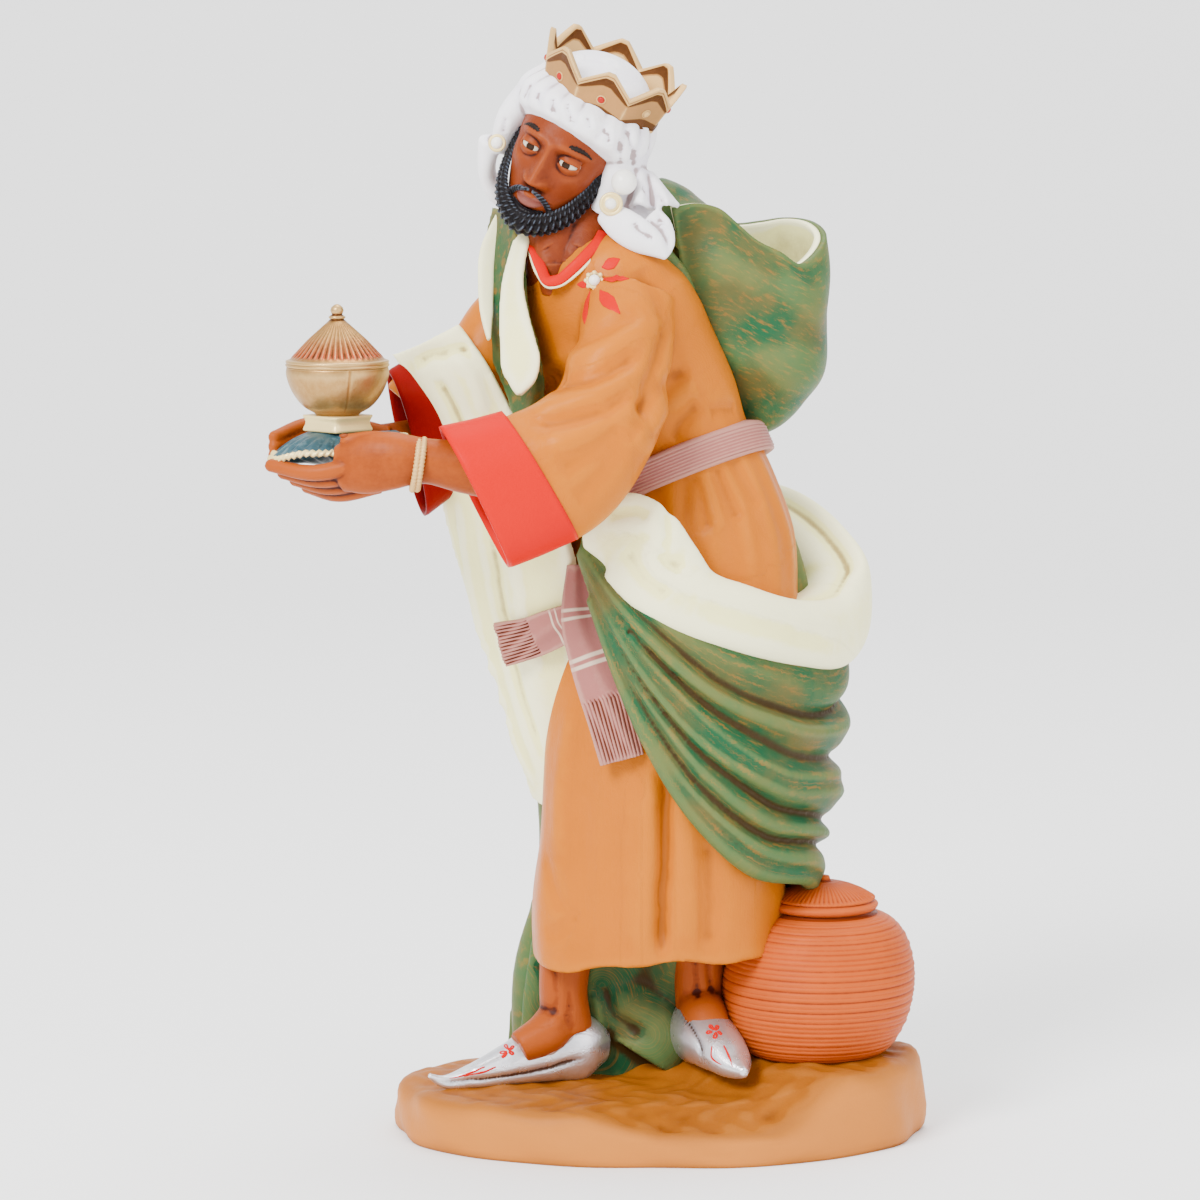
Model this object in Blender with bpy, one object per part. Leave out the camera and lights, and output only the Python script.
"""A nativity wise man figurine: a painted casting with its ground and clay pot, a crown and a covered vessel.

The display side faces -Y, +Z is up, and the origin is at the centre of the flat underside.
The figure's stations are in shares of its height: one share is a millimetre at the size below.
Their heights are counted from the underside, with the ground slab SLAB_SHARES thick.
Fold lines are in units of the front drawing, which is 1200 units across and looks down by DRAWING_LIFT.
"""

import math

import bmesh
import bpy
import numpy as np

# Driving dimensions, in metres
FIGURE_HEIGHT = 0.286  # slab to the crown's tallest point
SLAB_HEIGHT = 0.014
SLAB_LENGTH = 0.144
SLAB_DEPTH = 0.093
POT_DIAMETER = 0.0525
POT_HEIGHT = 0.041
POT_LID_DIAMETER = 0.029
CLOAK_THICKNESS = 0.0034
CROWN_DIAMETER = 0.0336
CROWN_WALL = 0.0014
CROWN_BAND = 0.0089
CROWN_POINT = 0.0050
CROWN_LIP = 0.0004
VESSEL_DIAMETER = 0.0272
VESSEL_BOWL_HEIGHT = 0.0134
VESSEL_LID_HEIGHT = 0.0158
VESSEL_FOOT = 0.0150
VESSEL_FOOT_HEIGHT = 0.0042
CLEARANCE = 0.0003
SEAT_DEPTH = 0.0008  # how far the vessel's foot is let into the cushion
CUTTER_HEIGHT = 0.01
GRAIN = 0.0011  # the voxel in which the masses of the casting are joined
SPECK = 4 * GRAIN  # the widest loose speck that is taken out
CASTING_FACES = 7000
CROWN_POINTS = 8
CROWN_FLARE = 0.25

# Shares of the figure
FIGURE_SHARES = 286
SLAB_SHARES = 14
SHARE = FIGURE_HEIGHT / FIGURE_SHARES
CLOTH = CLOAK_THICKNESS / SHARE

# The front drawing
DRAWING_UNIT = 0.27
DRAWING_CENTRE = 600
DRAWING_AIM = np.array([-16.0, 0.0, 146.0])
DRAWING_DISTANCE = 1350
DRAWING_LIFT = math.radians(7)

# Places and directions of the pose, in shares
ACROSS = np.array([1.0, 0.0, 0.0])
UPWARD = np.array([0.0, 0.0, 1.0])
SHOULDERS = np.array([0.66, -0.75, 0.0])
HEAD_MIDDLE = np.array([-25.5, -8.0, 266.6])
HEAD_UP = np.array([0.385, -0.24, 0.89])
HEAD_AHEAD = np.array([-0.35, -0.93, -0.10])
CROWN_SEAT = np.array([-16.3, -6.5, 279.6])
CUSHION_MIDDLE = np.array([-85.0, -25.0, 189.6])
CUSHION_HALF_HEIGHT = 4.6
VESSEL_PLACE = np.array([-85.0, -25.0])
POT_PLACE = np.array([42.5, 2.0])

COLOURS = {
    "figure": ((0.78, 0.36, 0.08), 0.45, 0.0),
    "crown": ((0.45, 0.33, 0.18), 0.4, 0.6),
    "incense_vessel": ((0.62, 0.42, 0.2), 0.3, 0.8),
}


# Curves and bodies

def unit(vectors):
    vectors = np.asarray(vectors, float)
    return vectors / np.linalg.norm(vectors, axis=-1, keepdims=True)


def smooth_path(points, count):
    """Points spread evenly along a smooth curve through the given ones; further columns follow along."""
    points = np.array(points, float)
    steps = np.linalg.norm(np.diff(points[:, :3], axis=0), axis=1)
    marks = np.concatenate([[0.0], np.cumsum(steps)])
    slopes = np.gradient(points, marks, axis=0)
    at = np.linspace(0.0, marks[-1], count)
    low = np.clip(np.searchsorted(marks, at, side="right") - 1, 0, len(points) - 2)
    span = (marks[low + 1] - marks[low])[:, None]
    t = (at - marks[low])[:, None] / span
    return (
        (2 * t**3 - 3 * t**2 + 1) * points[low]
        + (t**3 - 2 * t**2 + t) * span * slopes[low]
        + (3 * t**2 - 2 * t**3) * points[low + 1]
        + (t**3 - t**2) * span * slopes[low + 1]
    )


def skin(grid, fold_ends=False):
    """A closed body round a grid of rings. Its ends close on a middle point, or its halves are joined."""
    rings, sides, _ = grid.shape
    points = grid.reshape(-1, 3)
    faces = []
    for ring in range(rings - 1):
        for side in range(sides):
            a = ring * sides + side
            b = ring * sides + (side + 1) % sides
            faces.append((a, b, b + sides, a + sides))
    top = (rings - 1) * sides
    if fold_ends:
        for side in range(sides // 2 - 1):
            other = sides - 1 - side
            faces.append((side + 1, side, other, other - 1))
            faces.append((top + side, top + side + 1, top + other - 1, top + other))
        return points, faces
    points = np.concatenate([points, grid[:1].mean(axis=1), grid[-1:].mean(axis=1)])
    for side in range(sides):
        following = (side + 1) % sides
        faces.append((len(points) - 2, following, side))
        faces.append((len(points) - 1, top + side, top + following))
    return points, faces


def limb(stations, hint, last_hint=None, sides=36, rings=30, power=2.0, folds=None):
    """An oval body along a path. A station is x, y, z, half size along the hint, half size across it."""
    rows = smooth_path(stations, rings)
    ahead = unit(np.gradient(rows[:, :3], axis=0))
    share = np.linspace(0.0, 1.0, rings)[:, None]
    last_hint = hint if last_hint is None else last_hint
    wide = (1 - share) * np.array(hint) + share * np.array(last_hint)
    wide = unit(wide - (wide * ahead).sum(axis=1, keepdims=True) * ahead)
    deep = np.cross(ahead, wide)
    angle = np.linspace(0.0, 2 * math.pi, sides, endpoint=False)
    cosine = np.sign(np.cos(angle)) * np.abs(np.cos(angle)) ** (2 / power)
    sine = np.sign(np.sin(angle)) * np.abs(np.sin(angle)) ** (2 / power)
    swell = np.ones((rings, sides)) if folds is None else 1 + folds(angle[None, :], share)
    spread = rows[:, 3, None] * cosine * swell
    depth = rows[:, 4, None] * sine * swell
    grid = rows[:, None, :3] + spread[..., None] * wide[:, None] + depth[..., None] * deep[:, None]
    return skin(grid)


def sheet(rails, thickness=CLOTH, columns=48, rows=20, relief=None):
    """A cloth of even thickness through its rails, each a list of points along the cloth.

    The relief gives its rise from the places along and across the cloth, each from 0 to 1.
    """
    along = np.array([smooth_path(rail, columns) for rail in rails])
    grid = np.array([smooth_path(along[:, column], rows) for column in range(columns)])
    normal = unit(np.cross(np.gradient(grid, axis=0), np.gradient(grid, axis=1)))
    if relief is not None:
        tall = np.linalg.norm(grid[:, -1] - grid[:, 0], axis=1)[:, None]
        rise = relief(np.linspace(0, 1, columns)[:, None], np.linspace(0, 1, rows)[None, :], tall)
        grid = grid + normal * rise[..., None]
    outer = grid + normal * thickness / 2
    inner = grid - normal * thickness / 2
    return skin(np.concatenate([outer, inner[:, ::-1]], axis=1), fold_ends=True)


def ball(middle, halves, axes=None, sides=28, rings=18):
    """An egg shape about its middle, with its half sizes along three axes."""
    axes = np.eye(3) if axes is None else np.array(axes)
    polar = np.linspace(0.06, math.pi - 0.06, rings)[:, None]
    angle = np.linspace(0.0, 2 * math.pi, sides, endpoint=False)[None, :]
    local = [np.sin(polar) * np.cos(angle), np.sin(polar) * np.sin(angle), np.cos(polar) + 0 * angle]
    grid = np.asarray(middle) + sum(local[k][..., None] * halves[k] * axes[k] for k in range(3))
    return skin(grid)


def turned(profile, sides=48):
    """A body turned round the upright axis from its outline of radius, height and squareness of the ring."""
    angle = np.linspace(0.0, 2 * math.pi, sides, endpoint=False)
    grid = []
    for radius, height, power in profile:
        x = np.sign(np.cos(angle)) * np.abs(np.cos(angle)) ** (2 / power)
        y = np.sign(np.sin(angle)) * np.abs(np.sin(angle)) ** (2 / power)
        grid.append(np.column_stack([radius * x, radius * y, np.full(sides, float(height))]))
    return skin(np.array(grid))


def head_axes():
    """The head's side, ahead and up directions."""
    up = unit(HEAD_UP)
    ahead = unit(HEAD_AHEAD - HEAD_AHEAD.dot(up) * up)
    return np.array([np.cross(up, ahead), ahead, up])


def on_head(side, ahead, up):
    return HEAD_MIDDLE + np.array([side, ahead, up]) @ head_axes()


# Masses of the casting

def ground_height(x, y):
    """The earth's own height: low at the left front, a step of 8 shares up to the right and the back."""
    climb = np.clip((x + 0.9 * y + 8) / 34, 0.0, 1.0)
    front_ledge = np.clip((-y - 30) / 12, 0.0, 1.0) * np.clip((x + 20) / 20, 0.0, 1.0)
    ripple = 0.5 * np.sin(0.19 * x + 1.0) * np.sin(0.23 * y)
    return SLAB_SHARES + 8 * climb**2 * (3 - 2 * climb) - 5 * front_ledge + ripple


def ground():
    """The earth slab: upright wavy sides, a climbing top and a flat underside."""
    angle = np.linspace(0.0, 2 * math.pi, 96, endpoint=False)
    waver = 1 + 0.012 * np.sin(5 * angle + 0.6) + 0.010 * np.sin(9 * angle)
    oval = np.column_stack([SLAB_LENGTH * np.cos(angle), SLAB_DEPTH * np.sin(angle)]) / 2 / SHARE
    rim = oval * waver[:, None]
    grid = [np.column_stack([rim * 0.985, np.full(96, -2.0)])]
    levels = [(1.0, 0.25), (1.0, 0.7), (0.98, 0.93)]
    levels += [(reach, 1.0) for reach in (0.94, 0.86, 0.74, 0.6, 0.45, 0.3, 0.15, 0.04)]
    for reach, rise in levels:
        spot = rim * reach
        height = ground_height(spot[:, 0], spot[:, 1]) - SLAB_SHARES
        grid.append(np.column_stack([spot, rise * (SLAB_HEIGHT / SHARE + height)]))
    points, faces = skin(np.array(grid))
    points[:, 2] += SLAB_SHARES - SLAB_HEIGHT / SHARE
    return points, faces


def pot():
    """The covered clay pot beside the figure, its foot sunk into the earth."""
    radius = POT_DIAMETER / 2 / SHARE
    height = POT_HEIGHT / SHARE
    lid = POT_LID_DIAMETER / 2 / SHARE
    body = [(0.45, 0.0), (0.74, 0.05), (0.92, 0.22), (1.0, 0.46), (0.965, 0.68), (0.83, 0.86), (0.62, 0.96)]
    profile = [(radius * r, height * z, 2) for r, z in body]
    cover = [(0.78, -0.2), (0.95, 0.9), (1.0, 2.0), (0.93, 3.0), (0.8, 4.6), (0.52, 6.6), (0.2, 7.6)]
    profile += [(lid * r, height + z, 2) for r, z in cover]
    points, faces = turned(profile)
    points[:, 0] += 0.05 * points[:, 2]
    floor = ground_height(*POT_PLACE) - 1.5
    return points + np.array([*POT_PLACE, floor]), faces


def legs():
    """Both bare ankles with their pointed shoes."""
    bodies = [
        limb([(-25, 2, 70, 8, 8), (-25, 1, 52, 7.4, 7.4), (-26, 0, 38, 6.6, 7), (-25, 1, 28, 7, 7)], ACROSS),
        limb([(10, 2, 70, 8, 8), (11, 2, 52, 7.2, 7.2), (11, 1, 38, 6.6, 7), (12, 1, 28, 7, 7)], ACROSS),
    ]
    right = [(-16, 5, 23, 3, 4), (-20, 4, 23, 6, 9), (-31, 0, 22, 6.5, 8.5), (-42, -4, 19, 6, 5.5)]
    right += [(-52, -9, 16.5, 4, 3.4), (-61, -12.5, 15.8, 0.8, 1)]
    left = [(7, 8, 28, 3, 4), (9, 5, 28, 6.5, 9), (12, -4, 27.5, 8, 9.5), (17, -14, 25, 7.5, 7)]
    left += [(20, -21, 22.5, 5.5, 4), (22.5, -27, 21, 1, 1.4)]
    bodies.append(limb(right, (0.3, 1, 0), sides=28))
    bodies.append(limb(left, ACROSS, sides=28))
    return bodies


def robe():
    """The belted robe from its hem to the neck, bowing forward over the belt."""
    def folds(angle, share):
        hem = np.clip(1 - share / 0.5, 0.0, 1.0)
        gather = np.exp(-(((share - 0.6) / 0.09) ** 2))
        return 0.03 * hem * np.sin(7 * angle + 0.8) + 0.015 * gather * np.sin(17 * angle)

    stations = [
        (0, 0, 50, 34.5, 26.5),
        (-0.5, 0, 60, 34.5, 26.5),
        (0.5, 0, 78, 33.5, 25.5),
        (1, 0, 96, 33, 25),
        (2, 1, 115, 33, 25),
        (4, 2, 134, 33, 25.5),
        (5, 2, 150, 33.5, 25.5),
        (6, 2, 165, 31.5, 24),
        (5, 2, 178, 27, 20.5),
        (2, 2, 189, 23.5, 19),
        (-1, 2, 198, 24.5, 19.5),
        (-10.5, 2, 213, 29, 22),
        (-17, 1, 224, 30, 20.5),
        (-22, 0, 233, 26, 16),
        (-25, 1, 238.5, 17, 12),
        (-26, 2, 242, 10, 9),
    ]
    return limb(stations, ACROSS, SHOULDERS, sides=96, rings=72, folds=folds)


def near_sleeve():
    """The wide left sleeve with its turned cuff, hanging from the forearm."""
    stations = [
        (-8, -18, 228, 12, 12),
        (-10, -28, 214, 13, 12.5),
        (-16, -38, 197, 15.5, 13),
        (-31, -44, 183.6, 19, 12.4),
        (-48.7, -46.5, 178.4, 20.4, 12.6),
    ]
    return limb(stations, (-1, 0, 0.1), (-0.46, 0, 0.88), sides=48, rings=36)


def far_sleeve():
    stations = [
        (-33, 6, 230, 8, 9),
        (-43, 5, 220.5, 9, 9.5),
        (-48, 4, 211, 10.5, 10.5),
        (-56, 5, 198, 18.5, 10.4),
        (-67.5, 1.6, 188.3, 20.2, 10.6),
    ]
    return limb(stations, (-1, 0, 0.1), (-0.24, 0, 0.97), sides=40)


def finger(points, root=2.7, tip=1.9):
    count = len(points)
    stations = [(*p, root + (tip - root) * k / (count - 1), root + (tip - root) * k / (count - 1))
                for k, p in enumerate(points)]
    bodies = [limb(stations, UPWARD, sides=14, rings=16)]
    bodies.append(ball(points[-1], (tip, tip, tip), sides=12, rings=8))
    return bodies


def near_hand():
    """The left forearm and hand, its fingers under the cushion's near edge and its thumb on top."""
    bodies = [limb([(-36, -44, 184, 7.5, 6.5), (-52, -45, 186, 6.8, 6), (-62, -45, 187.4, 6, 5.2),
                    (-70, -44, 186, 6.8, 5), (-79, -41, 185, 6.6, 4.4)], UPWARD)]
    for k in range(4):
        drop = 2.9 * k
        bodies += finger([(-76 + 0.8 * k, -44 + 1.5 * k, 187 - drop),
                          (-91 + 2 * k, -42.5 + 2.5 * k, 184.2 - drop),
                          (-103 + 3 * k, -36 + 2.4 * k, 187.5 - drop)])
    bodies += finger([(-66, -43, 189.5), (-73, -42, 192), (-80, -41, 192.8)], 3.0, 1.9)
    return bodies


def far_hand():
    """The right forearm and hand, holding the cushion's far edge."""
    bodies = [limb([(-52, 6, 190, 7, 6.5), (-66, 0, 189, 6, 5.4), (-76, -5, 188, 6, 5), (-84, -8, 188, 6, 4)],
                   UPWARD)]
    for k in range(4):
        drop = 2.5 * k
        bodies += finger([(-82, -6 + k, 192 - drop), (-95, -8 - k, 192.6 - drop),
                          (-103 + k, -17 - k, 193 - drop)])
    bodies += finger([(-73, -8, 192), (-80, -11, 196), (-88, -13, 196.4)], 3.0, 2.1)
    return bodies


def cushion():
    """A square pillow with pinched corners and edges, level on top where the vessel stands."""
    sides = 64
    angle = np.linspace(0.0, 2 * math.pi, sides, endpoint=False)
    pinch = 1 - 0.07 * np.cos(4 * angle) ** 2
    square = (np.abs(np.cos(angle)) ** 5 + np.abs(np.sin(angle)) ** 5) ** (-1 / 5)
    rim = np.column_stack([17.5 * np.cos(angle), 17 * np.sin(angle)]) * (square * pinch)[:, None]
    grid = []
    for reach, height in ((0.3, -1), (0.7, -0.92), (0.92, -0.55), (1.0, -0.12), (1.0, 0.12), (0.92, 0.62),
                          (0.66, 0.97), (0.5, 1.0), (0.2, 1.0)):
        grid.append(np.column_stack([rim * reach, np.full(sides, CUSHION_HALF_HEIGHT * height)]))
    return skin(np.array(grid) + CUSHION_MIDDLE)


def head():
    """Neck, skull, face and beard, bowed and turned to the display side."""
    axes = head_axes()
    bodies = [
        limb([(-26, 0, 228, 10, 10), (-26.5, -3.5, 240, 10, 10.5), (-26, -4.5, 250, 9.8, 10.5),
              (-26, -5, 262, 10, 11)],
             SHOULDERS),
        limb([(-20, -7, 251, 5.5, 5), (-20, -10.5, 244, 6, 5), (-22, -14, 237.5, 5, 4.2),
              (-25.5, -15.5, 231, 3, 3)],
             ACROSS),
        limb([(-26.5, -9, 253, 6, 4), (-27, -11, 244, 6.5, 4.2), (-28, -12.5, 236, 5, 3.6),
              (-28.5, -12, 229, 3, 3)],
             ACROSS),
        ball(on_head(0, -1, 4), (13.6, 15.2, 15.5), axes),
        limb([(*on_head(0, 4, 4), 12.5, 11), (*on_head(0, 5, -6), 11.5, 10), (*on_head(0, 6, -14), 8.5, 7.5),
              (*on_head(0, 7, -18.5), 5, 4.5)], axes[0]),
        limb([(*on_head(0, 14, 4.5), 1.6, 1.6), (*on_head(0, 16.2, 0), 2.2, 2),
              (*on_head(0, 17.4, -3), 3, 2)],
             axes[0], sides=16, rings=12),
        limb([(*on_head(-10, 11, 5), 1.6, 1.6), (*on_head(-4, 14.4, 5.6), 2, 1.8),
              (*on_head(4, 14.4, 5.6), 2, 1.8),
              (*on_head(10, 11, 5), 1.6, 1.6)], axes[2], sides=14, rings=16),
        limb([(*on_head(-4.5, 14.4, -8.4), 1.2, 1.2), (*on_head(0, 16, -8.2), 2, 1.6),
              (*on_head(4.5, 14.4, -8.4), 1.2, 1.2)], axes[2], sides=14, rings=14),
        limb([(*on_head(-12.5, 2, 0), 2, 2.5), (*on_head(-11, 6, -9), 3.2, 3.4),
              (*on_head(-6, 12, -14.5), 3.6, 3.6),
              (*on_head(0, 14, -16), 3.8, 4), (*on_head(6, 12, -14.5), 3.6, 3.6),
              (*on_head(11, 6, -9), 3.2, 3.4),
              (*on_head(12.5, 2, 0), 2, 2.5)], axes[2], sides=18, rings=30),
    ]
    return bodies


def turban():
    """The wound cloth on the head with its side lappets, bow, tail, pearl ball and earrings."""
    axes = head_axes()

    def pleats(angle, share):
        wind = np.abs(np.sin(9.5 * angle + 0.8 * share + 0.5 * np.sin(3 * angle))) ** 0.7
        return 0.07 * wind * np.sin(math.pi * np.clip(share * 1.15, 0, 1)) ** 0.5 - 0.045

    lean = np.array([0.0, -0.40, 0.92])
    start = np.array([0.0, -1.8, 2.6])
    cap = []
    for rise, radius in ((0, 15.6), (1.6, 18.4), (5.5, 19.8), (10.5, 19.8), (15.5, 17.6), (20.5, 14.0),
                         (24.5, 8.5),
                         (26.3, 2.0)):
        spot = start + lean * rise
        cap.append((*on_head(spot[0] + 0.04 * rise, spot[1] + 0.012 * rise**2, spot[2]), radius * 0.97,
                    radius))
    bodies = [limb(cap, axes[0], sides=100, rings=50, folds=pleats)]
    lappets = [
        [(*on_head(14, -4, 9), 6, 8), (*on_head(16.5, -3, -1), 5.5, 8), (*on_head(16.5, -2, -10), 4.5, 6)],
        [(*on_head(-14.5, -2, 10), 5, 8), (*on_head(-17, 0, 2), 4, 6), (*on_head(-16.5, 1, -8), 2.2, 4)],
        [(*on_head(0, -8, 6), 15, 9), (*on_head(0, -11, -6), 13, 8), (-18, 6, 250, 12, 9),
         (-17, 8, 238, 10, 6)],
    ]
    bodies += [limb(lappet, axes[0]) for lappet in lappets]
    ends = [
        [(*on_head(16, -4, -4), 5, 6), (-7, -6, 250, 7, 6), (-8, -10, 242, 6.5, 5)],
        [(*seen_at(491, 140, -4), 3.4, 3), (*seen_at(487, 158, -1), 2.6, 4), (*seen_at(488, 176, 2), 2.4, 4),
         (*seen_at(495, 190, 4), 2.6, 4), (*seen_at(506, 204, 6), 2, 3)],
        [(*seen_at(652, 214, -17), 2.6, 2), (*seen_at(664, 228, -18.5), 2.4, 1.6),
         (*seen_at(669, 244, -19), 1.6, 1.2),
         (*seen_at(667, 256, -20), 0.8, 0.9)],
    ]
    bodies += [limb(end, ACROSS) for end in ends]
    tail = [(*seen_at(604, 212, -17), 3, 2.5), (*seen_at(618, 222, -19), 4.4, 2.6),
            (*seen_at(636, 234, -20.5), 4.6, 2.6),
            (*seen_at(652, 244, -20.5), 3.6, 2.2), (*seen_at(667, 258, -20.5), 0.9, 1.0)]
    bodies.append(limb(tail, (0.4, 0, 0.9)))
    fan = [[(634, 172, -12), (639, 171, -14), (644, 171, -12), (649, 172, -9), (652, 174, -5)],
           [(634, 190, -13), (642, 190, -18), (650, 190, -13), (660, 191, -16), (667, 193, -8)],
           [(632, 207, -13), (641, 203, -22), (652, 211, -13), (665, 204, -21), (679, 207, -10)]]
    bodies.append(sheet([[seen_at(*spot) for spot in rail] for rail in fan], thickness=0.6 * CLOTH,
                        columns=40, rows=24))
    bodies.append(ball(seen_at(624, 182, -19.5), (3.4, 3.4, 3.4)))
    bodies.append(ball(seen_at(611, 204, -20.5), (3.1, 2.0, 3.1)))
    bodies.append(ball(seen_at(497, 143, -11), (2.4, 1.8, 2.4)))
    return bodies


def belt():
    """The sash round the waist, and its two fringed ends hanging at the front."""
    angle = np.linspace(0.0, 2 * math.pi, 72, endpoint=False)
    loop = np.column_stack([2 + 25.5 * np.cos(angle), 2 + 22 * np.sin(angle), np.zeros(72)])
    loop[:, 2] = 180 + 0.44 * (loop[:, 0] - 3) - 0.23 * loop[:, 1]
    slope = unit((-0.44, 0.23, 1.0))
    out = unit(np.column_stack([np.cos(angle) / 25, np.sin(angle) / 21.5, np.zeros(72)]))
    section = [(-4, -4), (-4, 1.8), (-1.2, 2.4), (1.2, 2.4), (4, 1.8), (4, -4)]
    taper = (1 + 0.12 * np.sin(angle + 2.5))[:, None]
    grid = np.array([loop + slope * up * taper + out * reach for up, reach in section])
    short_end = [(*seen_at(574, 620, -16), 4.6, 1.5), (*seen_at(550, 630, -12), 5.4, 1.5),
                 (*seen_at(530, 638, -9.5), 5.6, 1.5), (*seen_at(500, 645, -7), 6.2, 1.5)]
    long_end = [(*seen_at(578, 565, -17), 3.0, 1.6), (*seen_at(580, 620, -19.5), 5.0, 1.7),
                (*seen_at(594, 665, -22.5), 6.2, 1.7), (*seen_at(606, 700, -24.5), 6.6, 1.7),
                (*seen_at(614, 730, -25.5), 6.2, 1.7), (*seen_at(622, 760, -26), 6.0, 1.7)]
    return [hoop(grid), limb(short_end, UPWARD, sides=28, power=3.4),
            limb(long_end, ACROSS, sides=28, power=3.4)]


def hoop(grid):
    """A closed band through a loop of sections, each row of the grid running all the way round."""
    rows, columns, _ = grid.shape
    faces = []
    for row in range(rows):
        for column in range(columns):
            a = row * columns + column
            b = row * columns + (column + 1) % columns
            faces.append((a, b, (b + columns) % (rows * columns), (a + columns) % (rows * columns)))
    return grid.reshape(-1, 3), faces


def cloak_back():
    """The cloak down the back to the earth: broad hanging folds from the shoulders to behind the shoes."""
    def folds(angle, share):
        return (0.06 + 0.03 * (1 - share)) * np.sin(9 * angle + 2 * share)

    stations = [
        (-5, 21, 11, 35, 13),
        (-4, 19, 34, 34, 15),
        (0, 16, 60, 33, 19),
        (3, 14, 95, 33, 22),
        (5, 13, 130, 36, 25),
        (4, 14, 155, 34, 25),
        (0, 14, 180, 26, 22),
        (-5, 15, 205, 23, 20),
        (-16, 13, 228, 29, 15),
        (-24, 11, 243, 20, 11),
        (-24, 8, 252, 12, 8),
    ]
    return limb(stations, ACROSS, (0.75, -0.6, 0), sides=90, rings=60, folds=folds)


# Hanging folds of the fall, from its top edge to its hem: share of its height, half width and rise
SWAGS = (
    (0.10, 0.045, -0.9), (0.20, 0.060, 1.0), (0.31, 0.034, -2.4), (0.40, 0.046, 2.7), (0.495, 0.034, -2.8),
    (0.56, 0.026, 1.2), (0.65, 0.042, 2.4), (0.735, 0.028, -2.6), (0.79, 0.030, 1.2), (0.86, 0.026, -2.4),
    (0.93, 0.036, 1.5),
)


def swags(along, down, tall):
    """The fall's rise at a place along it and down it, less where it is short."""
    relief = 0.0 * along * down
    for number, (place, width, rise) in enumerate(SWAGS):
        wander = 0.016 * np.sin(2 * math.pi * (1.4 * along + 0.31 * number))
        swell = 1 + 0.3 * np.sin(2 * math.pi * (2.1 * along + 0.43 * number))
        relief = relief - rise * swell * np.exp(-(((down - place - wander) / width) ** 2))
    return relief * np.clip(tall / 60, 0.1, 1.0)


def billows(along, down, tall):
    """The ripples of the blown cloak."""
    near = 1.2 * np.sin(2 * math.pi * (2.6 * down + 1.1 * along)) * np.exp(-((along - 0.2) / 0.25) ** 2)
    return near + 0.5 * np.sin(2 * math.pi * (5 * along + 1.2 * down)) * down * (1 - down) * 3


def cloak_wrap():
    """The cloak drawn round the hips: the green fall with its deep swags and its turned top edge."""
    top = [(-21, -25, 166), (-8, -30, 156), (4, -31, 149), (20, -27, 141), (36, -16, 137), (49, 2, 136),
           (49, 15, 145), (40, 25, 156), (20, 33, 164)]
    middle = [(-21, -26, 163), (-9, -31, 143), (2, -33, 128), (18, -31, 113), (34, -21, 106), (47, -2, 104),
              (45, 14, 108), (31, 26, 110), (14, 33, 112)]
    bottom = [(-20, -25, 160), (-10, -29, 127), (-2, -30.5, 111), (10, -29, 92), (25, -23, 77), (41, -6, 70),
              (38, 11, 62), (25, 23, 48), (6, 31, 32)]
    fall = sheet([top, middle, bottom], thickness=CLOTH * 1.2, columns=150, rows=90, relief=swags)
    roll = [(-20, -27, 168, 5, 3), (-10, -30, 167, 12, 4), (0, -32, 157, 12, 4.6), (8, -32, 150, 9.5, 4.6),
            (21, -28, 144.5, 9, 4.6), (37, -16, 139, 9, 4.8), (50, 0, 138.5, 10, 4.8),
            (53.5, 11, 145, 10, 4.6),
            (47, 22, 156, 9, 4.4), (36, 30, 165, 8, 4.4), (16, 36, 170, 7, 4.4), (-6, 34, 175, 4, 3),
            (-16, 30, 177, 2, 2)]
    inner = [(20, -20, 140, 5, 6), (36, -8, 141, 6, 8), (44, 4, 144, 7, 8), (46, 13, 149, 7, 8),
             (40, 22, 157, 7, 8),
             (28, 29, 165, 6, 6), (14, 32, 168, 4, 4)]
    filling = [(-2, -17, 134, 10, 9), (16, -13, 132, 12, 9), (31, -4, 128, 12, 8), (35, 8, 128, 12, 8),
               (27, 19, 132, 12, 8)]
    lower = [(4, -17, 112, 8, 8), (16, -12, 102, 11, 9), (28, -4, 94, 12, 8), (30, 8, 92, 12, 8),
             (22, 17, 96, 12, 8)]
    lowest = [(16, -14, 90, 5, 8), (26, -6, 84, 6, 7), (31, 4, 82, 6, 6)]
    behind = [(31, 13, 152, 10, 11), (29, 9, 125, 10, 11), (29, 9, 95, 9, 11), (26, 13, 60, 10, 11),
              (16, 18, 30, 12, 11), (10, 19, 13, 12, 11)]
    hem = [(-18, -27, 150, 2, 2), (-9, -29.5, 126, 2.4, 2.4), (-2, -31, 111, 2.6, 2.6),
           (10, -29.5, 92, 2.8, 2.6),
           (25, -23.5, 77, 2.8, 2.6), (40, -8, 71.5, 2.6, 2.6), (40, 12, 62.5, 2.6, 2.6)]
    bodies = [fall, limb(roll, UPWARD, sides=28, rings=72), limb(behind, ACROSS),
              limb(hem, UPWARD, sides=18, rings=48)]
    return bodies + [limb(stations, UPWARD) for stations in (inner, filling, lower, lowest)]


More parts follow.
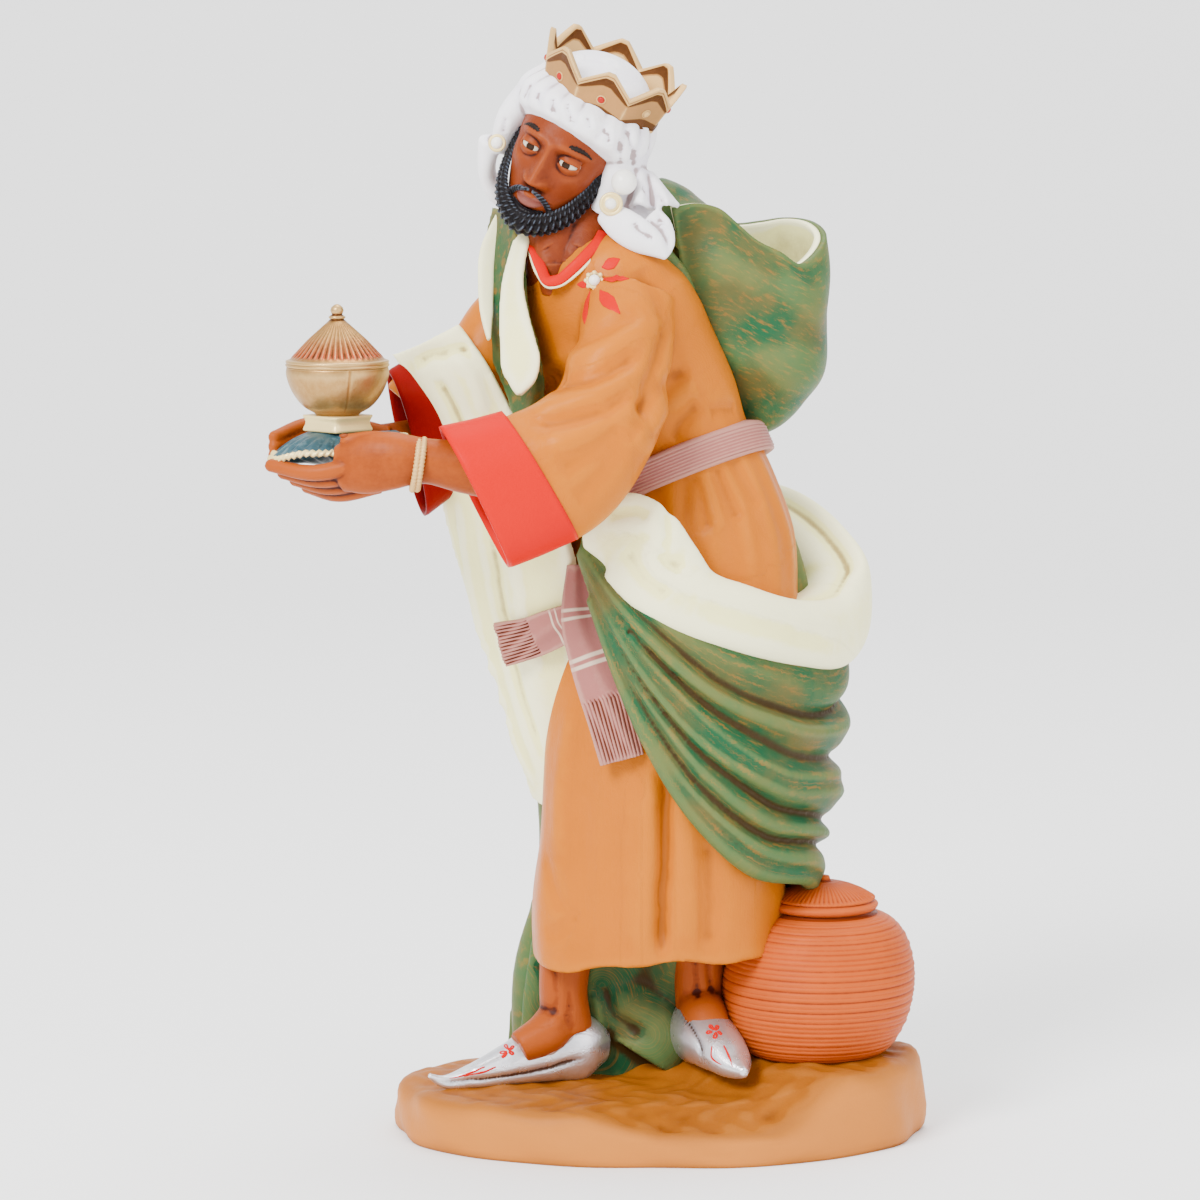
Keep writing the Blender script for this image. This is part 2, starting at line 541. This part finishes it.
def cloak_billow():
    """The cloak blown out behind the near shoulder: a hollow fold, open along its top."""
    rim = [(3, -4, 252), (10, -3, 253), (15, -3, 252), (20, -2, 248), (26, -1, 243), (32, 0, 240),
           (37, 3, 236.5),
           (41, 8, 238.5), (43.8, 14, 243), (40, 23, 247), (34, 27, 247.5), (28, 28, 246.5), (20, 28, 246),
           (14, 26, 249),
           (4, 22, 256), (-8, 18, 261), (-20, 14, 258)]
    belly = [(8, -2, 228), (18, -4, 224), (28, -4, 220), (37, 0, 218), (43.5, 8, 218), (44.5, 17, 219),
             (40, 27, 222), (30, 33, 226), (16, 31, 230), (2, 26, 236), (-9, 22, 242), (-20, 18, 246)]
    foot = [(19, 2, 206), (24, 1, 203), (29, 2, 200), (34, 5, 198), (38, 10, 198), (38, 17, 198),
            (34, 24, 198),
            (26, 29, 200), (14, 30, 204), (2, 28, 208), (-8, 26, 214), (-18, 24, 220)]
    root = [(18, 8, 196), (22, 8, 195), (25, 8, 194), (27, 10, 193), (29, 13, 193), (28, 17, 193),
            (26, 21, 193),
            (21, 24, 193), (12, 25, 194), (2, 24, 197), (-7, 23, 200), (-16, 22, 204)]
    pocket = sheet([rim, belly, foot, root], columns=90, rows=40, relief=billows)
    floor = limb([(6, 12, 226, 10, 9), (18, 12, 214, 12, 12), (28, 13, 205, 11, 10), (26, 14, 194, 7, 7)],
                 ACROSS)
    pinch = limb([(-2, 11, 254, 6, 11), (2, 11, 252.6, 6, 12), (7, 10, 249.8, 5.5, 13),
                  (13, 10, 246.6, 4.4, 14),
                  (19, 11, 244, 3, 14), (23, 11, 242, 1.5, 12)], UPWARD)
    return [pocket, floor, pinch]


def cloak_drape():
    """The cloak over the far arm, falling in a long panel at the figure's right side to the earth."""
    left = [(-71, 6, 212), (-66, -1, 204.6), (-61, -3, 195.5), (-57, 8, 168), (-49, 9, 141), (-41, 11, 116),
            (-33.5, 15, 90)]
    middle = [(-62, -6, 216.5), (-57, -9, 206), (-52, -9, 196), (-47, -5, 168), (-39, -3, 141), (-34, 0, 116),
              (-28, 6, 88)]
    right = [(-53.5, -7, 221), (-46, -10, 210.6), (-41.4, -11, 202), (-28, -14, 175), (-22.5, -15.5, 155),
             (-23, -8, 138), (-21, -3, 116), (-18, 8, 86)]
    core = [(-52, 12, 208, 13, 8), (-46, 13, 190, 16, 8), (-38, 14, 160, 16, 8), (-30, 16, 130, 13, 8),
            (-23, 19, 95, 11, 8), (-23, 21, 62, 11, 8), (-29, 20, 40, 11, 8), (-28, 22, 11, 12, 8)]
    shoulder = [(-30, 16, 244, 8, 6), (-36, 19, 240, 10, 6), (-38, 20, 230, 11, 7), (-40, 18, 220, 11, 8),
                (-50, 12, 208, 8, 8), (-58, 8, 203, 7, 6)]
    bodies = [sheet([left, middle, right], columns=72, rows=28), ball((-34, 22, 196), (7, 6, 15))]
    return bodies + [limb(core, ACROSS, rings=48), limb(shoulder, (0, 1, 0.2))]


def cloak_lapel():
    """The cloak's front edge, lying down the chest from the far shoulder."""
    outer = [(-43.5, 10, 251), (-46, 7, 240), (-47, 3, 228), (-45, -2, 215), (-40, -10, 203), (-37, -17, 195)]
    inner = [(-37, -6, 250), (-37, -12, 237), (-36, -17, 225), (-33, -20, 214), (-32, -23, 204),
             (-34, -24, 196)]
    edge = [(512, 205, 8, 2.0), (505, 216, 6, 2.4), (498, 230, 3, 2.5), (489, 250, 0, 2.4),
            (486, 286, -4.5, 2.2),
            (487, 318, -9, 1.6), (489, 340, -12, 0.9)]
    fold = [(534, 212, 0, 2.0), (526, 228, -6, 2.3), (519, 250, -11, 2.4), (512.5, 286, -17, 3.1),
            (514.5, 320, -21.5, 4.2), (518, 345, -24.5, 5.0), (521, 366, -27, 5.4), (524, 381, -28.5, 3.4),
            (520, 394, -29, 1.2)]
    bands = [limb([(*seen_at(*spot), wide, 1.3) for *spot, wide in course], hint, rings=40, power=3.4)
             for course, hint in ((edge, (1, 0.25, 0)), (fold, (1, -0.35, 0)))]
    return [sheet([outer, inner], thickness=CLOTH * 1.1, columns=40, rows=16)] + bands


def ankle_fold():
    """The cloak's hem between the shoes, curled up on the earth."""
    stations = [(-18, 12, 44, 10, 6), (-8, 9, 36, 11, 7), (0, 7, 26, 10, 8), (-4, 6, 19, 10, 7)]
    return limb(stations, ACROSS)


# Folds pressed into the joined casting: a line of the drawing, its half width and depth in shares
FOLDS = (
    ([(661, 772), (666, 815), (667, 866), (666, 962)], 2.2, -3.2),
    ([(604, 770), (600, 860), (596, 950)], 3.0, -1.2),
    ([(560, 700), (562, 820), (556, 935)], 3.0, -1.2),
    ([(700, 850), (712, 900), (700, 948)], 2.6, -1.4),
    ([(632, 760), (632, 860), (634, 960)], 3.4, 1.4),
    ([(540, 405), (590, 395), (640, 372)], 2.4, -2.0),
    ([(560, 440), (605, 425), (645, 400)], 2.2, -1.8),
    ([(552, 372), (600, 350), (640, 330)], 2.4, -1.4),
    ([(598, 470), (620, 440), (650, 420)], 2.0, -1.4),
    ([(668, 330), (668, 380), (650, 440)], 2.4, -3.0),
    ([(648, 250), (662, 290), (668, 330)], 2.4, -2.0),
    ([(700, 380), (718, 400), (735, 412)], 2.0, -1.4),
    ([(500, 500), (505, 580), (530, 700)], 2.6, -1.6),
    ([(470, 520), (500, 620), (532, 740)], 2.2, 1.4),
    ([(690, 480), (712, 520), (770, 560)], 2.4, -1.2),
    ([(604, 520), (640, 520), (656, 524), (660, 540), (652, 560), (662, 578), (700, 584), (750, 596),
      (800, 614),
      (846, 636)], 3.4, 1.1),
    ([(620, 548), (640, 580), (668, 600)], 2.6, -0.8),
    ([(430, 380), (452, 440), (470, 520)], 2.6, -1.2),
    ([(600, 990), (610, 1020), (640, 1035)], 2.2, -1.4),
)


def on_drawing(points):
    """Where points of the figure are seen in the front drawing."""
    away = points - DRAWING_AIM
    depth = away[:, 1] * math.cos(DRAWING_LIFT) - away[:, 2] * math.sin(DRAWING_LIFT)
    height = away[:, 1] * math.sin(DRAWING_LIFT) + away[:, 2] * math.cos(DRAWING_LIFT)
    nearness = DRAWING_DISTANCE / (DRAWING_DISTANCE + depth) / DRAWING_UNIT
    return DRAWING_CENTRE + np.column_stack([away[:, 0] * nearness, -height * nearness])


def seen_at(across, down, depth):
    """The station at a depth in Y that the drawing shows at a place."""
    cosine = math.cos(DRAWING_LIFT)
    sine = math.sin(DRAWING_LIFT)
    rise = (DRAWING_CENTRE - down) * DRAWING_UNIT / DRAWING_DISTANCE
    height = (rise * (DRAWING_DISTANCE + depth * cosine) - depth * sine) / (cosine + rise * sine)
    nearness = (DRAWING_DISTANCE + depth * cosine - height * sine) / DRAWING_DISTANCE * DRAWING_UNIT
    return np.array([(across - DRAWING_CENTRE) * nearness, depth, height]) + DRAWING_AIM * (1, 0, 1)


def press_folds(points, normals):
    """Sinks or raises the display side of the casting along each fold line."""
    spots = on_drawing(points)
    facing = np.clip(-normals[:, 1] + 0.25, 0.0, 1.0)
    shift = np.zeros(len(points))
    for line, width, depth in FOLDS:
        flat = smooth_path([(x, y, 0.0) for x, y in line], 24)[:, :2]
        reach = 3 * width / DRAWING_UNIT
        inside = (spots > flat.min(axis=0) - reach).all(axis=1)
        inside &= (spots < flat.max(axis=0) + reach).all(axis=1)
        near = np.flatnonzero(inside)
        gap = np.linalg.norm(spots[near, None, :] - flat[None], axis=2)
        along = gap.argmin(axis=1) / (len(flat) - 1)
        fade = np.clip(np.minimum(along, 1 - along) * 6 + 0.25, 0.0, 1.0)
        shift[near] += depth * fade * np.exp(-((gap.min(axis=1) * DRAWING_UNIT / width) ** 2))
    return points + normals * (shift * facing)[:, None]


# Objects

def material(name):
    colour, roughness, metallic = COLOURS[name]
    new = bpy.data.materials.new(name)
    new.use_nodes = True
    shader = new.node_tree.nodes["Principled BSDF"]
    shader.inputs["Base Color"].default_value = (*colour, 1.0)
    shader.inputs["Roughness"].default_value = roughness
    shader.inputs["Metallic"].default_value = metallic
    return new


def make_object(name, bodies):
    """One object of closed bodies, in metres, with every face pointing out."""
    mesh = bpy.data.meshes.new(name)
    points = []
    faces = []
    for body_points, body_faces in bodies:
        faces += [tuple(len(points) + corner for corner in face) for face in body_faces]
        points += body_points.tolist()
    mesh.from_pydata(points, [], faces)
    shape = bmesh.new()
    shape.from_mesh(mesh)
    bmesh.ops.recalc_face_normals(shape, faces=shape.faces)
    shape.to_mesh(mesh)
    shape.free()
    new = bpy.data.objects.new(name, mesh)
    bpy.context.scene.collection.objects.link(new)
    mesh.materials.append(material(name) if name in COLOURS else None)
    return new


def stand(bodies):
    """Bodies in shares, in metres on the slab."""
    lift = SLAB_HEIGHT - SLAB_SHARES * SHARE
    return [(points * SHARE + np.array([0.0, 0.0, lift]), faces) for points, faces in bodies]


def evaluated_mesh(thing):
    """The object's mesh with its modifiers worked out, which then replaces them."""
    graph = bpy.context.evaluated_depsgraph_get()
    graph.update()
    mesh = bpy.data.meshes.new_from_object(thing.evaluated_get(graph))
    thing.modifiers.clear()
    thing.data = mesh
    return mesh


def clear_specks(mesh):
    """Takes out the loose specks, a few grains wide, that are left where two surfaces nearly meet."""
    shape = bmesh.new()
    shape.from_mesh(mesh)
    waiting = set(shape.verts)
    specks = []
    while waiting:
        island = [waiting.pop()]
        for corner in island:
            near = {edge.other_vert(corner) for edge in corner.link_edges} & waiting
            waiting -= near
            island += near
        spans = np.ptp(np.array([corner.co for corner in island]), axis=0)
        if spans.max() < SPECK:
            specks += island
    bmesh.ops.delete(shape, geom=specks, context="VERTS")
    shape.to_mesh(mesh)
    shape.free()


def vertex_array(mesh, normals=False):
    values = np.empty(len(mesh.vertices) * 3, dtype=np.float32)
    (mesh.vertex_normals if normals else mesh.vertices).foreach_get("vector" if normals else "co", values)
    return values.reshape(-1, 3).astype(float)


def add_modifier(thing, kind, **settings):
    new = thing.modifiers.new(kind.title(), kind)
    for key, value in settings.items():
        setattr(new, key, value)


def crown_axes():
    up = unit(HEAD_UP)
    side = unit(np.cross(up, np.array([0.0, -1.0, 0.0])))
    return np.array([side, np.cross(up, side), up])


def crown_bodies(spare=0.0, whole=False):
    """The crown's flared band and points; with spare, the room that it needs in the turban."""
    columns = CROWN_POINTS * 6
    angle = np.linspace(0.0, 2 * math.pi, columns, endpoint=False)
    saw = np.abs(angle * CROWN_POINTS / (2 * math.pi) % 1.0 * 2 - 1)
    top = CROWN_BAND + CROWN_POINT * (np.ones(columns) if whole else np.minimum(1.0, 1.16 * saw))
    panel = (1 - saw) * math.pi / CROWN_POINTS
    flat = 0.35 + 0.65 * math.cos(math.pi / CROWN_POINTS) / np.cos(panel)
    radius = CROWN_DIAMETER / 2 * flat / flat.max()
    rows = []
    for share in (0.0, 0.12, 0.16, 0.55, 1.0):
        lip = CROWN_LIP if share < 0.14 else 0.0
        rows.append((radius + CROWN_FLARE * top * share + spare + lip, top * share))
    for share in (1.0, 0.5, 0.0):
        rows.append((radius - CROWN_WALL + CROWN_FLARE * top * share - spare, top * share))
    axes = crown_axes()
    grid = []
    for reach, height in rows:
        height = height + np.where(height > CROWN_BAND / 2, spare, -spare)
        ring = np.outer(np.cos(angle), axes[0]) + np.outer(np.sin(angle), axes[1])
        grid.append(ring * np.reshape(reach, (-1, 1)) + height[:, None] * axes[2])
    points, faces = hoop(np.array(grid))
    seat = CROWN_SEAT * SHARE + np.array([0.0, 0.0, SLAB_HEIGHT - SLAB_SHARES * SHARE])
    return [(points + seat, faces)]


def cushion_top():
    return SLAB_HEIGHT + (CUSHION_MIDDLE[2] + CUSHION_HALF_HEIGHT - SLAB_SHARES) * SHARE


def vessel_bodies():
    """The covered bowl on its square foot: foot, bowl, rim, ribbed lid and knob, moulded as one."""
    bowl = VESSEL_DIAMETER / 2
    foot = VESSEL_FOOT / 2
    base = VESSEL_FOOT_HEIGHT
    rim = base + VESSEL_BOWL_HEIGHT
    profile = [(foot * r, base * z, 9) for r, z in ((0.97, 0.0), (0.98, 0.2), (0.93, 0.5), (0.99, 0.9),
                                                    (0.97, 1.0))]
    profile += [(bowl * r, base + VESSEL_BOWL_HEIGHT * z, 2)
                for r, z in ((0.44, 0.02), (0.65, 0.16), (0.86, 0.42), (0.97, 0.68), (1.0, 0.84),
                             (0.975, 0.95))]
    profile += [(bowl * r, rim + z, 2) for r, z in ((1.0, 0.0), (1.01, 0.0009), (0.95, 0.0016))]
    profile += [(bowl * r, rim + VESSEL_LID_HEIGHT * z, 2) for r, z in (
        (0.83, 0.16), (0.70, 0.28), (0.57, 0.40), (0.42, 0.52), (0.28, 0.63), (0.15, 0.74), (0.165, 0.78),
        (0.11, 0.82), (0.13, 0.89), (0.05, 1.0))]
    points, faces = turned(profile, sides=20)
    place = [VESSEL_PLACE[0] * SHARE, VESSEL_PLACE[1] * SHARE, cushion_top() - SEAT_DEPTH + CLEARANCE]
    return [(points + np.array(place), faces)]


def cut(thing, tool):
    """Takes the tool's room out of the thing, and the slivers that the cut leaves loose."""
    tool.hide_render = True
    tool.display_type = "WIRE"
    add_modifier(thing, "BOOLEAN", operation="DIFFERENCE", solver="EXACT", object=tool)
    clear_specks(evaluated_mesh(thing))
    bpy.data.objects.remove(tool)


def make_figure():
    bodies = [ground(), pot(), robe(), near_sleeve(), far_sleeve(), cushion(), cloak_back(), ankle_fold()]
    bodies += cloak_lapel() + legs() + near_hand() + far_hand() + head() + turban() + belt()
    bodies += cloak_wrap() + cloak_billow() + cloak_drape()
    figure = make_object("figure", stand(bodies))
    add_modifier(figure, "REMESH", mode="VOXEL", voxel_size=GRAIN, adaptivity=0.0)
    add_modifier(figure, "SMOOTH", factor=0.5, iterations=2)
    mesh = evaluated_mesh(figure)
    clear_specks(mesh)
    lift = np.array([0.0, 0.0, SLAB_HEIGHT - SLAB_SHARES * SHARE])
    points = (vertex_array(mesh) - lift) / SHARE
    pressed = press_folds(points, vertex_array(mesh, normals=True)) * SHARE + lift
    mesh.vertices.foreach_set("co", pressed.astype(np.float32).ravel())
    mesh.update()
    add_modifier(figure, "SMOOTH", factor=0.5, iterations=2)
    share = min(1.0, CASTING_FACES / (2 * len(mesh.polygons)))
    add_modifier(figure, "DECIMATE", ratio=share, use_collapse_triangulate=True)
    evaluated_mesh(figure)
    return figure


def level_underside(figure):
    """Cuts the slab off flat and closes it with one face."""
    shape = bmesh.new()
    shape.from_mesh(figure.data)
    everything = shape.verts[:] + shape.edges[:] + shape.faces[:]
    bmesh.ops.bisect_plane(shape, geom=everything, dist=1e-7, plane_co=(0, 0, 0), plane_no=(0, 0, 1),
                           clear_inner=True)
    rim = [edge for edge in shape.edges if edge.is_boundary]
    bmesh.ops.contextual_create(shape, geom=rim)
    bmesh.ops.triangulate(shape, faces=shape.faces)
    shape.to_mesh(figure.data)
    shape.free()


def seat_cutter(name, half, depth):
    """A square block for the vessel's foot, standing on the seat's floor."""
    place = np.array([VESSEL_PLACE[0] * SHARE, VESSEL_PLACE[1] * SHARE, cushion_top() - depth])
    points, faces = turned([(half, 0.0, 9), (half, CUTTER_HEIGHT, 9)], sides=32)
    return make_object(name, [(points + place, faces)])


def main():
    for old in list(bpy.context.scene.objects):
        bpy.data.objects.remove(old)
    figure = make_figure()
    level_underside(figure)
    cut(figure, seat_cutter("seat_room", VESSEL_FOOT / 2 + CLEARANCE, SEAT_DEPTH))
    cut(figure, make_object("crown_room", crown_bodies(spare=CLEARANCE * 1.5, whole=True)))
    crown = make_object("crown", crown_bodies())
    vessel = make_object("incense_vessel", vessel_bodies())
    for thing in (figure, crown, vessel):
        thing.data.shade_smooth()
        thing.data.set_sharp_from_angle(angle=math.radians(50))


main()
